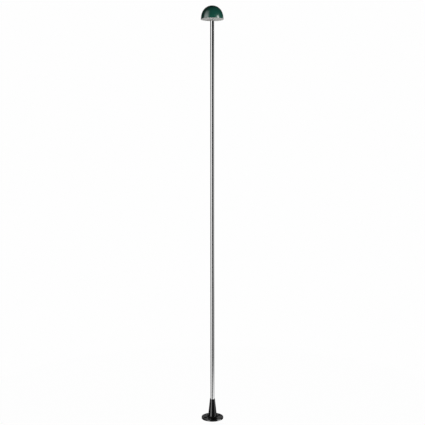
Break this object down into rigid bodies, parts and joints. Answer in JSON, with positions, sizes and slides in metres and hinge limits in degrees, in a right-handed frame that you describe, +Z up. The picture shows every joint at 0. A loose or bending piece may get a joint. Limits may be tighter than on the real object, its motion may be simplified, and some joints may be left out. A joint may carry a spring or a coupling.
{
  "type": "dome-head pole floor lamp",
  "caption": "Slim floor lamp: a straight chromed pole in a screw-down cast foot carries a glossy domed shade over a flat opal disc lit by an LED ring.",
  "frame": {"origin": "on the floor, under the pole's axis, at the centre of the foot", "axes": "+Z up along the pole, +X to the right and +Y away as the lamp is seen in its picture"},
  "size_m": [0.1032, 0.1032, 1.9],
  "materials": {
    "green_enamel": "glossy dark green stove enamel on spun steel, white inside",
    "polished_chrome": "polished chrome plate on steel tube",
    "black_enamel": "glossy black enamel on a casting",
    "opal_acrylic": "satin opal white",
    "black_rubber": "matt",
    "black_plastic": "fine matt",
    "black_steel": "black oxide",
    "zinc_steel": "bright zinc plate",
    "turned_aluminium": "turned",
    "spun_aluminium": "spun",
    "brass": "bare",
    "white_board": "white solder mask",
    "led_phosphor": "yellow phosphor gel",
    "driver_case": "fine matt",
    "lead_sheath": "soft PVC",
    "core_insulation": "smooth insulation",
    "natural_polyamide": "translucent natural"
  },
  "bodies": {
    "stand": {"foot_casting": "black_enamel", "floor_pad": "black_rubber", "pole_grub_screws": "black_steel", "base_cover": "black_plastic", "cable_grommet": "black_rubber", "seat_grommet": "black_rubber", "terminal_block": "natural_polyamide", "terminal_sleeves": "brass", "terminal_screws": "zinc_steel", "terminal_block_screw": "zinc_steel", "pole": "polished_chrome", "supply_lead": "lead_sheath", "lead_cores": "core_insulation", "pole_hub": "turned_aluminium", "head_nipple": "zinc_steel", "head_lock_washer": "zinc_steel", "head_nut": "zinc_steel", "heat_sink_tray": "spun_aluminium", "led_board": "white_board", "led_chips": "led_phosphor", "led_board_screws": "zinc_steel", "led_driver": "driver_case", "driver_screws": "zinc_steel", "driver_input_cores": "core_insulation", "driver_output_cores": "core_insulation", "diffuser": "opal_acrylic", "diffuser_screws": "zinc_steel", "shade_saddle": "zinc_steel", "saddle_screws": "zinc_steel"},
    "shade": {"shade": "green_enamel", "shade_boss": "zinc_steel"}
  },
  "joints": [
    {"name": "shade_lift", "type": "slide", "parent": "stand", "child": "shade", "axis": [0, 0, 1], "range_m": [0, 0.08]}
  ]
}
